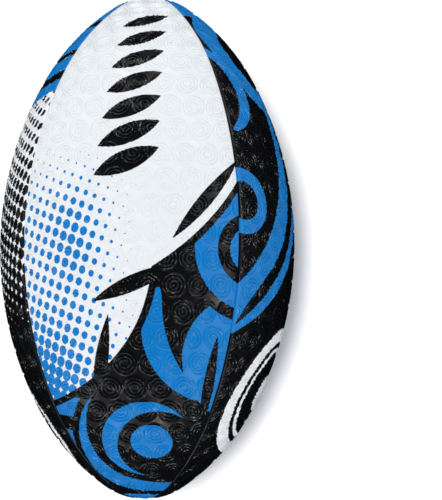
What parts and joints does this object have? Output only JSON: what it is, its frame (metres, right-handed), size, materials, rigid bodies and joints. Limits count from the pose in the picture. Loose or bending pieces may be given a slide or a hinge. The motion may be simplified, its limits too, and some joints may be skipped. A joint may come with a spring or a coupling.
{
  "type": "rugby ball",
  "caption": "Oval rugby ball with stitched, grip-textured rubber panels over a cloth lining and an air bladder with a needle valve.",
  "frame": {"origin": "centre of the ball, halfway along its long axis, at the centre of the bounding box", "axes": "+X along the ball's long axis, +Z out through the centre of the front panel, -Z out through the valve in the back panel, -Y out through the centre of the right panel"},
  "size_m": [0.3, 0.175, 0.175],
  "materials": {
    "cover_rubber_white": "satin",
    "cover_rubber_black": "satin",
    "lining_cloth": "matte",
    "seam_thread": "matte",
    "bladder_rubber": "satin",
    "valve_rubber": "matte"
  },
  "bodies": {
    "root": {"panel_front": "cover_rubber_white", "panel_left": "cover_rubber_white", "panel_right": "cover_rubber_black", "panel_back": "cover_rubber_black", "ply_1_front": "lining_cloth", "ply_1_left": "lining_cloth", "ply_1_right": "lining_cloth", "ply_1_back": "lining_cloth", "ply_2_front": "lining_cloth", "ply_2_left": "lining_cloth", "ply_2_right": "lining_cloth", "ply_2_back": "lining_cloth", "ply_3_front": "lining_cloth", "ply_3_left": "lining_cloth", "ply_3_right": "lining_cloth", "ply_3_back": "lining_cloth", "seam_thread_front_left": "seam_thread", "seam_thread_front_right": "seam_thread", "seam_thread_back_left": "seam_thread", "seam_thread_back_right": "seam_thread", "bladder": "bladder_rubber", "valve_lining_patch": "lining_cloth", "valve_patch": "valve_rubber", "valve_housing": "valve_rubber", "valve_plug": "valve_rubber"}
  },
  "joints": []
}
